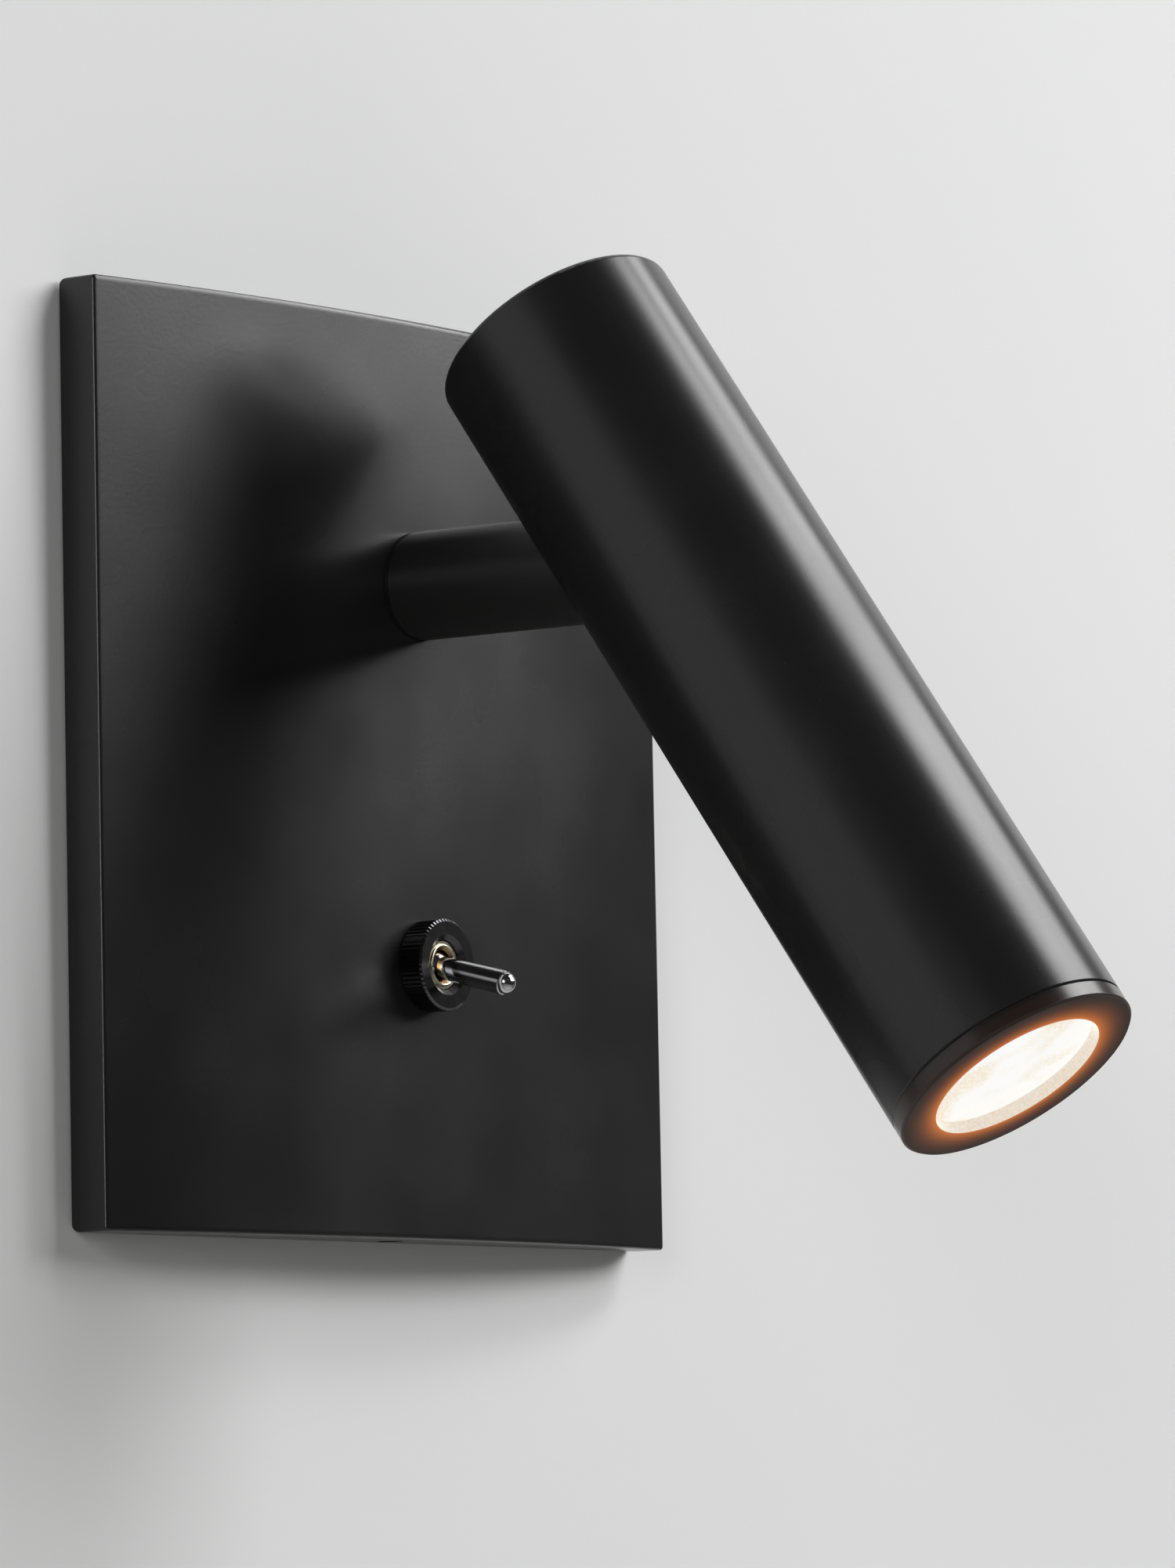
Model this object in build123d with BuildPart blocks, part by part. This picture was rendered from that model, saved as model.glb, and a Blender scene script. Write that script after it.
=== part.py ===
from build123d import *
from math import cos, pi, radians, sin, sqrt
import os

# Bedside wall reading lamp, in millimetres. +Z is up, the wall is the plane y = 0 and the lamp stands out
# towards -Y. The origin is the middle of the wall plate's back.

# Wall plate: a square pressed cover, bowed about an upright axis.
plate_size = 110.0
side_depth = 5.0
crown_depth = 10.0
sheet = 1.5
front_edge_radius = 0.4
corner_radius = 0.5
rim_radius = 1.0

# Wall bracket, with the plate's screws in tabs at its top and bottom.
bracket_sheet = 1.2
strap_width = 32.0
cross_width = 76.0
cross_height = 22.0
fixing_spacing = 60.3
fixing_width = 4.5
fixing_length = 9.0
tab_width = 16.0
tab_depth = 6.8
cover_screw_depth = 3.9
cable_hole_x = -13.0
cable_hole_radius = 5.25
cable_radius = 3.0
arm_window_radius = 11.0
switch_window_width = 18.0
switch_window_height = 17.0
cover_thread_radius = 1.5

# Arm and its swivel.
arm_height = 23.0
arm_radius = 6.5
arm_reach = 50.0
arm_flat = 5.2
stem_radius = 5.0
stem_bore = 3.0
swivel_play = 0.05
flange_thickness = 0.4
lead_radius = 0.5
lead_gap = 0.52
lead_rise = 3.9

# Toggle switch.
switch_height = -22.5
nut_radius = 5.5
nut_face = 13.2
knurl_teeth = 56
knurl_depth = 0.16
bushing_radius = 3.0
bushing_face = 12.7
lever_pivot_depth = 11.0
lever_length = 12.15
lever_dome = 1.4
lever_tip_radius = 1.44
lever_neck_radius = 1.36
lever_tail = 6.0
lever_throw = 14.0
ball_radius = 1.9
rocker_pivot_depth = 4.6
rocker_lean = 8.0

# Head: a tube about the tilt pivot. Lengths along it are counted from the pivot, forwards to the lens.
head_tilt = 55.5
tube_radius = 15.0
tube_bore = 13.5
tube_back = 34.2
tube_front = 74.0
ring_front = 76.2
joint_chamfer = 0.2
slot_half = 6.7
channel_top = 6.9
pivot_screw_radius = 2.0
block_half = 14.0
sink_front = 50.0
board_front = 51.6
holder_front = 71.0
lens_back = 72.2
lens_front = 74.6
lens_radius = 12.7
opening_radius = 10.6

half_plate = plate_size / 2
crown_radius = (half_plate**2 + (crown_depth - side_depth) ** 2) / (2 * (crown_depth - side_depth))
inner_half = half_plate - sheet
inner_crown = crown_depth - sheet
inner_side = crown_depth - crown_radius + sqrt((crown_radius - sheet) ** 2 - inner_half**2)
tab_outside = inner_half - 0.3

wall = Plane.XZ
swivel = Plane(origin=(0, 0, arm_height), x_dir=(1, 0, 0), z_dir=(0, -1, 0))
switch = Plane(origin=(0, 0, switch_height), x_dir=(1, 0, 0), z_dir=(0, -1, 0))
pivot = Vector(0, -arm_reach, arm_height)
pointing = Vector(0, -cos(radians(head_tilt)), -sin(radians(head_tilt)))
head = Plane(origin=pivot, x_dir=(1, 0, 0), z_dir=pointing)
cross_pin = Plane(origin=pivot, x_dir=(0, 1, 0), z_dir=(1, 0, 0))
lever_plane = Plane(
    origin=(0, -lever_pivot_depth, switch_height),
    x_dir=(1, 0, 0),
    z_dir=(0, -cos(radians(lever_throw)), -sin(radians(lever_throw))),
)
rocker_plane = Plane(
    origin=(0, -rocker_pivot_depth, switch_height),
    x_dir=(1, 0, 0),
    z_dir=(0, -cos(radians(rocker_lean)), sin(radians(rocker_lean))),
)


def section(base):
    """The plane through base's axis in which a turned piece is drawn as (radius, distance along)."""
    return Plane(origin=base.origin, x_dir=base.x_dir, z_dir=base.x_dir.cross(base.z_dir))


def axis_of(base):
    return Axis(base.origin, base.z_dir)


os.makedirs("parts", exist_ok=True)

# ---- wall plate ----

with BuildPart() as backplate:
    with BuildSketch(Plane.XY.offset(-half_plate)):
        with BuildLine():
            Polyline(
                (half_plate, -side_depth),
                (half_plate, 0),
                (-half_plate, 0),
                (-half_plate, -side_depth),
            )
            ThreePointArc((-half_plate, -side_depth), (0, -crown_depth), (half_plate, -side_depth))
        make_face()
    extrude(amount=plate_size)
    fillet(backplate.edges().filter_by(Axis.Y), corner_radius)
    fillet(backplate.edges().filter_by(lambda e: e.center().Y < 0.1 - side_depth), front_edge_radius)
    # top and bottom rims rounded off where they meet the wall
    with BuildSketch(Plane.YZ.offset(-half_plate)):
        for side in (-1, 1):
            with Locations((-rim_radius / 2, side * (half_plate - rim_radius / 2))):
                Rectangle(rim_radius, rim_radius)
            with Locations((-rim_radius, side * (half_plate - rim_radius))):
                Circle(rim_radius, mode=Mode.SUBTRACT)
    extrude(amount=plate_size, mode=Mode.SUBTRACT)
    with BuildSketch(Plane.XY.offset(-inner_half)):
        with BuildLine():
            Polyline(
                (inner_half, -inner_side),
                (inner_half, 0),
                (-inner_half, 0),
                (-inner_half, -inner_side),
            )
            ThreePointArc((-inner_half, -inner_side), (0, -inner_crown), (inner_half, -inner_side))
        make_face()
    extrude(amount=2 * inner_half, mode=Mode.SUBTRACT)
    with BuildSketch(wall):
        with Locations((0, arm_height)):
            Circle(stem_radius + 0.5)
        with Locations((0, switch_height)):
            Circle(bushing_radius + 0.2)
    extrude(amount=crown_depth + 1, mode=Mode.SUBTRACT)
    # one clearance hole through the top wall and one through the bottom wall
    with BuildSketch(Plane.XY.offset(-half_plate - 1)):
        with Locations((0, -cover_screw_depth)):
            Circle(cover_thread_radius + 0.1)
    extrude(amount=plate_size + 2, mode=Mode.SUBTRACT)
backplate.part.label = "backplate"
export_step(backplate.part, "parts/backplate.step")

# ---- wall bracket and what it carries ----

with BuildPart() as wall_bracket:
    with BuildSketch(wall) as bracket_outline:
        Rectangle(strap_width, 2 * tab_outside)
        Rectangle(cross_width, cross_height)
        fillet(bracket_outline.vertices(), 2.5)
        with Locations((0, arm_height)):
            Circle(arm_window_radius, mode=Mode.SUBTRACT)
        with Locations((0, switch_height)):
            RectangleRounded(switch_window_width, switch_window_height, 1.5, mode=Mode.SUBTRACT)
        with Locations((cable_hole_x, 0)):
            Circle(cable_hole_radius, mode=Mode.SUBTRACT)
        with GridLocations(fixing_spacing, 1, 2, 1):
            SlotOverall(fixing_length, fixing_width, mode=Mode.SUBTRACT)
    extrude(amount=bracket_sheet)
    with BuildSketch(wall.offset(bracket_sheet)):
        with GridLocations(1, 2 * tab_outside - bracket_sheet, 1, 2):
            Rectangle(tab_width, bracket_sheet)
    extrude(amount=tab_depth - bracket_sheet)
    with BuildSketch(Plane.XY.offset(-half_plate)):
        with Locations((0, -cover_screw_depth)):
            Circle(cover_thread_radius)
    extrude(amount=plate_size, mode=Mode.SUBTRACT)
wall_bracket.part.label = "wall_bracket"
export_step(wall_bracket.part, "parts/wall_bracket.step")

tab_inside = tab_outside - bracket_sheet
cover_nut_height = 2.4
with BuildPart() as cover_nuts:
    with BuildSketch(Plane.XY.offset(tab_inside - cover_nut_height), Plane.XY.offset(-tab_inside)):
        with Locations((0, -cover_screw_depth)):
            RegularPolygon(2.6, 6, major_radius=False)
            Circle(cover_thread_radius, mode=Mode.SUBTRACT)
    extrude(amount=cover_nut_height)
cover_nuts.part.label = "cover_nuts"
export_step(cover_nuts.part, "parts/cover_nuts.step")

# Grub screws, flush with the plate's top and bottom, with hexagon sockets.
cover_screw_length = 5.6
with BuildPart() as cover_screws:
    with BuildSketch(Plane.XY.offset(half_plate - 0.1 - cover_screw_length)):
        with Locations((0, -cover_screw_depth)):
            Circle(cover_thread_radius - 0.02)
    extrude(amount=cover_screw_length)
    with BuildSketch(Plane.XY.offset(half_plate - 0.1)):
        with Locations((0, -cover_screw_depth)):
            RegularPolygon(0.75, 6, major_radius=False)
    extrude(amount=-1.6, mode=Mode.SUBTRACT)
    mirror(about=Plane.XY)
cover_screws.part.label = "cover_screws"
export_step(cover_screws.part, "parts/cover_screws.step")

grommet_plane = Plane(origin=(cable_hole_x, 0, 0), x_dir=(1, 0, 0), z_dir=(0, -1, 0))
with BuildPart() as cable_grommet:
    with BuildSketch(section(grommet_plane)):
        with BuildLine():
            Polyline(
                (cable_radius, 0),
                (cable_hole_radius - 0.02, 0),
                (cable_hole_radius - 0.02, bracket_sheet),
                (cable_hole_radius + 1.2, bracket_sheet),
                (cable_hole_radius + 1.2, 2.0),
                (cable_hole_radius + 0.7, 2.5),
                (cable_radius + 0.5, 2.5),
                (cable_radius, 2.0),
                close=True,
            )
        make_face()
    revolve(axis=axis_of(grommet_plane))
cable_grommet.part.label = "cable_grommet"
export_step(cable_grommet.part, "parts/cable_grommet.step")

block_x = 13.0
block_width = 10.0
block_height = 12.0
block_depth = 5.0
block_face = bracket_sheet + block_depth
pole_step = 5.6
clamp_step = 5.0
well_depth = 2.6
with BuildPart() as terminal_block:
    with BuildSketch(wall.offset(bracket_sheet)):
        with Locations((block_x, 0)):
            RectangleRounded(block_width, block_height, 0.6)
    extrude(amount=block_depth)
    # wells over the clamp screws
    with BuildSketch(wall.offset(block_face)):
        with Locations((block_x, 0)):
            with GridLocations(clamp_step, pole_step, 2, 2):
                Circle(1.6)
    extrude(amount=-well_depth, mode=Mode.SUBTRACT)
    # supply entries, one to each pole, facing the grommet
    with BuildSketch(Plane.YZ.offset(block_x - block_width / 2)):
        with Locations((-bracket_sheet - 1.5, pole_step / 2), (-bracket_sheet - 1.5, -pole_step / 2)):
            Circle(0.9)
    extrude(amount=4.0, mode=Mode.SUBTRACT)
terminal_block.part.label = "terminal_block"
export_step(terminal_block.part, "parts/terminal_block.step")

with BuildPart() as terminal_screws:
    with BuildSketch(wall.offset(block_face - well_depth)):
        with Locations((block_x, 0)):
            with GridLocations(clamp_step, pole_step, 2, 2):
                Circle(1.5)
    extrude(amount=well_depth - 0.8)
    with BuildSketch(wall.offset(block_face - 0.8)):
        with Locations((block_x, 0)):
            with GridLocations(clamp_step, pole_step, 2, 2):
                Rectangle(3.2, 0.5, rotation=20)
    extrude(amount=-0.7, mode=Mode.SUBTRACT)
terminal_screws.part.label = "terminal_screws"
export_step(terminal_screws.part, "parts/terminal_screws.step")

# ---- arm swivel ----

bush_face = crown_depth + flange_thickness
with BuildPart() as swivel_bush:
    with BuildSketch(section(swivel)):
        with BuildLine():
            Polyline(
                (stem_radius + swivel_play, inner_crown),
                (stem_radius + 0.45, inner_crown),
                (stem_radius + 0.45, crown_depth),
                (arm_radius - 0.2, crown_depth),
                (arm_radius - 0.2, bush_face),
                (stem_radius + swivel_play, bush_face),
                close=True,
            )
        make_face()
    revolve(axis=axis_of(swivel))
swivel_bush.part.label = "swivel_bush"
export_step(swivel_bush.part, "parts/swivel_bush.step")

washer_front = inner_crown - 0.2
with BuildPart() as inner_washer:
    with BuildSketch(swivel.offset(washer_front - 0.7)):
        Circle(9.0)
        Circle(stem_radius + swivel_play, mode=Mode.SUBTRACT)
    extrude(amount=0.7)
inner_washer.part.label = "inner_washer"
export_step(inner_washer.part, "parts/inner_washer.step")

stop_circle = 10.4
with BuildPart() as stop_pin:
    with BuildSketch(swivel.offset(inner_crown - 2.2)):
        with Locations((0, stop_circle)):
            Circle(1.1)
    extrude(amount=2.19)
stop_pin.part.label = "stop_pin"
export_step(stop_pin.part, "parts/stop_pin.step")

stop_washer_front = washer_front - 0.75
with BuildPart() as stop_washer:
    with BuildSketch(swivel.offset(stop_washer_front - 0.8)):
        Circle(8.0)
        with Locations((0, -stop_circle / 2 - 0.8)):
            Rectangle(3.0, stop_circle + 1.6)
        Circle(stem_radius + 0.02, mode=Mode.SUBTRACT)
    extrude(amount=0.8)
stop_washer.part.label = "stop_washer"
export_step(stop_washer.part, "parts/stop_washer.step")

spring_front = stop_washer_front - 0.82
with BuildPart() as spring_washer:
    with BuildSketch(section(swivel)):
        with BuildLine():
            Polyline(
                (stem_radius + 0.2, spring_front - 1.0),
                (7.8, spring_front - 0.5),
                (7.8, spring_front),
                (stem_radius + 0.2, spring_front - 0.5),
                close=True,
            )
        make_face()
    revolve(axis=axis_of(swivel))
spring_washer.part.label = "spring_washer"
export_step(spring_washer.part, "parts/spring_washer.step")

nut_front = spring_front - 1.02
nut_thickness = 2.3
with BuildPart() as swivel_nut:
    with BuildSketch(swivel.offset(nut_front - nut_thickness)):
        RegularPolygon(7.0, 6, major_radius=False)
        Circle(stem_radius + 0.02, mode=Mode.SUBTRACT)
    extrude(amount=nut_thickness)
    chamfer(swivel_nut.edges().filter_by(GeomType.CIRCLE).group_by(Axis.Y)[-1], 0.15)
swivel_nut.part.label = "swivel_nut"
export_step(swivel_nut.part, "parts/swivel_nut.step")

stem_back = nut_front - nut_thickness - 0.1
stem_end = 18.0
with BuildPart() as swivel_stem:
    with BuildSketch(swivel.offset(stem_back)):
        Circle(stem_radius)
        Circle(stem_bore, mode=Mode.SUBTRACT)
    extrude(amount=stem_end - stem_back)
    chamfer(swivel_stem.edges().filter_by(GeomType.CIRCLE), 0.3)
swivel_stem.part.label = "swivel_stem"
export_step(swivel_stem.part, "parts/swivel_stem.step")

# ---- arm ----

arm_foot = bush_face + swivel_play
chamber_end = 24.0
with BuildPart() as arm:
    with BuildSketch(swivel.offset(arm_foot)):
        Circle(arm_radius)
    extrude(amount=arm_reach + arm_radius - arm_foot)
    # the far end is rounded about the tilt pivot
    with BuildSketch(cross_pin.offset(-arm_radius - 1)):
        with Locations((-arm_radius / 2, 0)):
            Rectangle(arm_radius, 2 * arm_radius + 1)
        Circle(arm_radius, mode=Mode.SUBTRACT)
    extrude(amount=2 * arm_radius + 2, mode=Mode.SUBTRACT)
    # flats beside the eye
    with BuildSketch(swivel.offset(arm_reach - 7.5)):
        with Locations((arm_flat, 0)):
            Rectangle(4, 2 * arm_radius + 1, align=(Align.MIN, Align.CENTER))
        with Locations((-arm_flat, 0)):
            Rectangle(4, 2 * arm_radius + 1, align=(Align.MAX, Align.CENTER))
    extrude(amount=arm_radius + 8, mode=Mode.SUBTRACT)
    # threaded socket for the stem, then the chamber where the leads rise above the eye
    with BuildSketch(swivel.offset(arm_foot)):
        Circle(stem_radius + 0.02)
    extrude(amount=chamber_end - arm_foot, mode=Mode.SUBTRACT)
    with BuildSketch(swivel.offset(chamber_end - 1)):
        with Locations((0, lead_rise)):
            Circle(2 * lead_radius + 0.1)
    extrude(amount=arm_reach + arm_radius, mode=Mode.SUBTRACT)
    with BuildSketch(cross_pin.offset(-arm_radius - 1)):
        Circle(2.52)
    extrude(amount=2 * arm_radius + 2, mode=Mode.SUBTRACT)
arm.part.label = "arm"
export_step(arm.part, "parts/arm.step")

with BuildPart() as pivot_bushes:
    with BuildSketch(section(cross_pin)):
        with BuildLine():
            Polyline(
                (pivot_screw_radius + 0.05, 0.2),
                (2.5, 0.2),
                (2.5, arm_flat),
                (4.5, arm_flat),
                (4.5, arm_flat + 0.7),
                (pivot_screw_radius + 0.05, arm_flat + 0.7),
                close=True,
            )
        make_face()
    revolve(axis=axis_of(cross_pin))
    mirror(about=Plane.YZ)
pivot_bushes.part.label = "pivot_bushes"
export_step(pivot_bushes.part, "parts/pivot_bushes.step")

lead_end = arm_reach + 6.0
with BuildPart() as arm_leads:
    for side in (-1, 1):
        with BuildLine():
            FilletPolyline(
                (side * lead_gap, -stem_back - 0.4, arm_height),
                (side * lead_gap, -stem_end, arm_height),
                (side * lead_gap, -chamber_end + 0.5, arm_height + lead_rise),
                (side * lead_gap, -lead_end, arm_height + lead_rise),
                radius=2.0,
            )
        with BuildSketch(Plane(origin=(side * lead_gap, -stem_back - 0.4, arm_height), z_dir=(0, -1, 0))):
            Circle(lead_radius)
        sweep()
arm_leads.part.label = "arm_leads"
export_step(arm_leads.part, "parts/arm_leads.step")

# ---- toggle switch ----

frame_front = inner_crown - 0.7
frame_sheet = 0.6
case_front = frame_front - frame_sheet
case_back = 2.0
case_width = 8.2
case_height = 13.0
rocker_half = 3.8
contact_step = 3.7

with BuildPart() as switch_washer:
    with BuildSketch(switch.offset(frame_front)):
        Circle(5.4)
        Circle(bushing_radius + 0.45, mode=Mode.SUBTRACT)
        # inward teeth that bite on the bushing's thread
        with PolarLocations(bushing_radius + 0.35, 10):
            Rectangle(0.6, 0.9)
    extrude(amount=0.55)
switch_washer.part.label = "switch_washer"
export_step(switch_washer.part, "parts/switch_washer.step")

with BuildPart() as switch_frame:
    with BuildSketch(switch.offset(case_front)):
        RectangleRounded(case_width + 2 * frame_sheet, case_height + 0.2, 0.4)
        Circle(bushing_radius, mode=Mode.SUBTRACT)
    extrude(amount=frame_sheet)
    # side legs folded back over the case
    with BuildSketch(switch.offset(case_back + 1.0)):
        with GridLocations(case_width + frame_sheet, 1, 2, 1):
            Rectangle(frame_sheet, case_height - 3)
    extrude(amount=case_front - case_back - 1.0)
switch_frame.part.label = "switch_frame"
export_step(switch_frame.part, "parts/switch_frame.step")

with BuildPart() as switch_case:
    with BuildSketch(switch.offset(case_back)):
        RectangleRounded(case_width, case_height, 0.4)
    extrude(amount=case_front - case_back)
    with BuildSketch(switch.offset(case_front)):
        Rectangle(5.2, 2 * rocker_half + 1.2)
    extrude(amount=-(case_front - 3.2), mode=Mode.SUBTRACT)
    with BuildSketch(switch.offset(case_back)):
        with GridLocations(1, contact_step, 1, 3):
            Rectangle(2.0, 0.8)
    extrude(amount=3.0, mode=Mode.SUBTRACT)
switch_case.part.label = "switch_case"
export_step(switch_case.part, "parts/switch_case.step")

# Three solder lugs: the middle one is the fulcrum of the rocker, the outer two are its contacts.
with BuildPart() as switch_lugs:
    with BuildSketch(switch.offset(0.4)):
        with GridLocations(1, 2 * contact_step, 1, 2):
            Rectangle(2.0, 0.8)
    extrude(amount=3.65 - 0.4)
    with BuildSketch(switch.offset(0.4)):
        Rectangle(2.0, 0.8)
    extrude(amount=rocker_pivot_depth - 0.35 - 0.4)
switch_lugs.part.label = "switch_lugs"
export_step(switch_lugs.part, "parts/switch_lugs.step")

trunnion_radius = 0.32
with BuildPart() as contact_rocker:
    with BuildSketch(rocker_plane.offset(-0.3)):
        Rectangle(2.0, 2 * rocker_half)
    extrude(amount=0.6)
    # trunnions that it rocks on
    with Locations(rocker_plane):
        Cylinder(trunnion_radius, 2.8, rotation=(0, 90, 0))
contact_rocker.part.label = "contact_rocker"
export_step(contact_rocker.part, "parts/contact_rocker.step")

seat_radius = 1.55
seat_depth = lever_pivot_depth - sqrt(ball_radius**2 - seat_radius**2) - 0.05
cage_radius = ball_radius + 0.2
with BuildPart() as switch_bushing:
    with BuildSketch(section(switch)):
        with BuildLine():
            Polyline(
                (2.1, case_front),
                (bushing_radius, case_front),
                (bushing_radius, bushing_face - 0.35),
                (bushing_radius - 0.15, bushing_face - 0.2),
                (bushing_radius - 0.46, bushing_face - 0.2),
            )
            # the lip that is rolled in over the ball
            ThreePointArc(
                (bushing_radius - 0.46, bushing_face - 0.2),
                (bushing_radius - 0.62, bushing_face),
                (bushing_radius - 0.8, bushing_face - 0.13),
            )
            Polyline(
                (bushing_radius - 0.8, bushing_face - 0.13),
                (ball_radius - 0.05, bushing_face - 0.45),
                (ball_radius - 0.05, bushing_face - 0.6),
                (cage_radius, bushing_face - 0.8),
                (cage_radius, seat_depth),
                (seat_radius, seat_depth),
                (2.1, case_front),
            )
        make_face()
    revolve(axis=axis_of(switch))
switch_bushing.part.label = "switch_bushing"
export_step(switch_bushing.part, "parts/switch_bushing.step")

# The ring nut's straight knurl is a star of V grooves.
with BuildPart() as ring_nut:
    with BuildSketch(switch.offset(crown_depth)):
        with BuildLine():
            Polyline(
                [
                    (
                        (nut_radius - knurl_depth * (k % 2)) * cos(pi * k / knurl_teeth),
                        (nut_radius - knurl_depth * (k % 2)) * sin(pi * k / knurl_teeth),
                    )
                    for k in range(2 * knurl_teeth)
                ],
                close=True,
            )
        make_face()
        Circle(bushing_radius + 0.02, mode=Mode.SUBTRACT)
    extrude(amount=nut_face - crown_depth)
    # chamfered front: rim and mouth
    with BuildSketch(section(switch)):
        with BuildLine():
            Polyline(
                (nut_radius + 0.1, nut_face - 0.3),
                (nut_radius + 0.1, nut_face + 0.1),
                (nut_radius - 0.3, nut_face + 0.1),
                close=True,
            )
        make_face()
        with BuildLine():
            Polyline(
                (bushing_radius, nut_face - 0.6),
                (bushing_radius, nut_face + 0.1),
                (bushing_radius + 0.7, nut_face + 0.1),
                close=True,
            )
        make_face()
    revolve(axis=axis_of(switch), mode=Mode.SUBTRACT)
ring_nut.part.label = "ring_nut"
export_step(ring_nut.part, "parts/ring_nut.step")

tail_radius = 0.9
lever_pin_radius = 0.45
with BuildPart() as toggle_lever:
    with BuildSketch(section(lever_plane)):
        with BuildLine():
            RadiusArc(
                (0, lever_length),
                (lever_tip_radius - 0.12, lever_length - lever_dome + 0.1),
                ((lever_tip_radius - 0.12) ** 2 + (lever_dome - 0.1) ** 2) / (2 * (lever_dome - 0.1)),
            )
            Polyline(
                (lever_tip_radius - 0.12, lever_length - lever_dome + 0.1),
                (lever_tip_radius, lever_length - lever_dome),
                (lever_neck_radius, ball_radius),
                (0, ball_radius),
                (0, lever_length),
            )
        make_face()
    revolve(axis=axis_of(lever_plane))
    with Locations(lever_plane):
        Sphere(ball_radius)
        Cylinder(lever_neck_radius, ball_radius, align=(Align.CENTER, Align.CENTER, Align.MIN))
        Cylinder(
            tail_radius,
            lever_tail - tail_radius,
            rotation=(180, 0, 0),
            align=(Align.CENTER, Align.CENTER, Align.MIN),
        )
        with Locations((0, 0, tail_radius - lever_tail)):
            Sphere(tail_radius)
        # the pin across the ball that it tips on
        Cylinder(lever_pin_radius, 2 * ball_radius + 0.2, rotation=(0, 90, 0))
toggle_lever.part.label = "toggle_lever"
export_step(toggle_lever.part, "parts/toggle_lever.step")

# ---- head: tube, rear cap and the tilt joint ----

slot_plane = Plane(origin=head.origin, x_dir=head.x_dir, z_dir=-head.y_dir)
slot_round = channel_top - slot_half

with BuildPart() as head_tube:
    with BuildSketch(head.offset(-tube_back)):
        Circle(tube_radius)
    extrude(amount=tube_back + tube_front)
    rims = head_tube.edges().filter_by(GeomType.CIRCLE).sort_by(axis_of(head))
    fillet(rims[0], 0.7)
    chamfer(head_tube.edges().filter_by(GeomType.CIRCLE).sort_by(axis_of(head))[-1], joint_chamfer)
    with BuildSketch(head.offset(-tube_back)):
        Circle(tube_bore)
    extrude(amount=tube_back + tube_front, mode=Mode.SUBTRACT)
    # the slot that the arm swings through, open at the back end
    with BuildSketch(slot_plane):
        with Locations((0, slot_round)):
            Circle(slot_half)
            Rectangle(2 * slot_half, tube_back + slot_round + 1, align=(Align.CENTER, Align.MAX))
    extrude(amount=tube_radius + 1, mode=Mode.SUBTRACT)
head_tube.part.label = "head_tube"
export_step(head_tube.part, "parts/head_tube.step")

with BuildPart() as rear_cap:
    with BuildSketch(head.offset(-tube_back + 0.1)):
        Circle(tube_bore - 0.02)
        with Locations((0, slot_round)):
            Circle(slot_half, mode=Mode.SUBTRACT)
            Rectangle(2 * slot_half, 2 * tube_bore, align=(Align.CENTER, Align.MAX), mode=Mode.SUBTRACT)
    extrude(amount=2.0)
rear_cap.part.label = "rear_cap"
export_step(rear_cap.part, "parts/rear_cap.step")

block_radius = tube_bore - 0.05
head_seat = 9.5
nut_seat = 9.6
with BuildPart() as pivot_block:
    with BuildSketch(head.offset(-block_half)):
        Circle(block_radius)
    extrude(amount=2 * block_half)
    # fork channel, open to the back and to the slot
    with BuildSketch(head.offset(-block_half)):
        with Locations((0, channel_top)):
            Rectangle(2 * slot_half, 2 * tube_bore, align=(Align.CENTER, Align.MAX))
    extrude(amount=block_half + channel_top, mode=Mode.SUBTRACT)
    # pocket and passage for the leads
    with BuildSketch(head.offset(-5.2)):
        with Locations((0, 2.6)):
            Rectangle(3.6, 7.3, align=(Align.CENTER, Align.MIN))
    extrude(amount=5.2 + block_half, mode=Mode.SUBTRACT)
    with BuildSketch(cross_pin.offset(-tube_radius)):
        Circle(pivot_screw_radius + 0.02)
    extrude(amount=2 * tube_radius, mode=Mode.SUBTRACT)
    with BuildSketch(cross_pin.offset(head_seat)):
        Circle(3.6)
    extrude(amount=5, mode=Mode.SUBTRACT)
    with BuildSketch(cross_pin.offset(-nut_seat)):
        RegularPolygon(3.55, 6, major_radius=False)
    extrude(amount=-5, mode=Mode.SUBTRACT)
    with BuildSketch(head.offset(8.0)):
        Circle(2.0)
    extrude(amount=block_half, mode=Mode.SUBTRACT)
pivot_block.part.label = "pivot_block"
export_step(pivot_block.part, "parts/pivot_block.step")

with BuildPart() as pivot_screw:
    with BuildSketch(cross_pin.offset(-12.0)):
        Circle(pivot_screw_radius)
    extrude(amount=12.0 + head_seat)
    with BuildSketch(cross_pin.offset(head_seat)):
        Circle(3.5)
    extrude(amount=2.6)
    chamfer(pivot_screw.faces().sort_by(Axis.X)[-1].edges(), 0.3)
    with BuildSketch(cross_pin.offset(head_seat + 2.6)):
        RegularPolygon(1.25, 6, major_radius=False)
    extrude(amount=-1.6, mode=Mode.SUBTRACT)
pivot_screw.part.label = "pivot_screw"
export_step(pivot_screw.part, "parts/pivot_screw.step")

with BuildPart() as pivot_nut:
    with BuildSketch(cross_pin.offset(-nut_seat)):
        RegularPolygon(3.5, 6, major_radius=False)
        Circle(pivot_screw_radius + 0.02, mode=Mode.SUBTRACT)
    extrude(amount=-2.7)
pivot_nut.part.label = "pivot_nut"
export_step(pivot_nut.part, "parts/pivot_nut.step")

# Dished spring washers that press on the eye's bushes and hold the tilt.
with BuildPart() as friction_washers:
    with BuildSketch(section(cross_pin)):
        with BuildLine():
            Polyline(
                (pivot_screw_radius + 0.1, arm_flat + 0.75),
                (pivot_screw_radius + 0.1, arm_flat + 1.15),
                (4.4, slot_half),
                (4.4, slot_half - 0.4),
                close=True,
            )
        make_face()
    revolve(axis=axis_of(cross_pin))
    mirror(about=Plane.YZ)
friction_washers.part.label = "friction_washers"
export_step(friction_washers.part, "parts/friction_washers.step")

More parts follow.
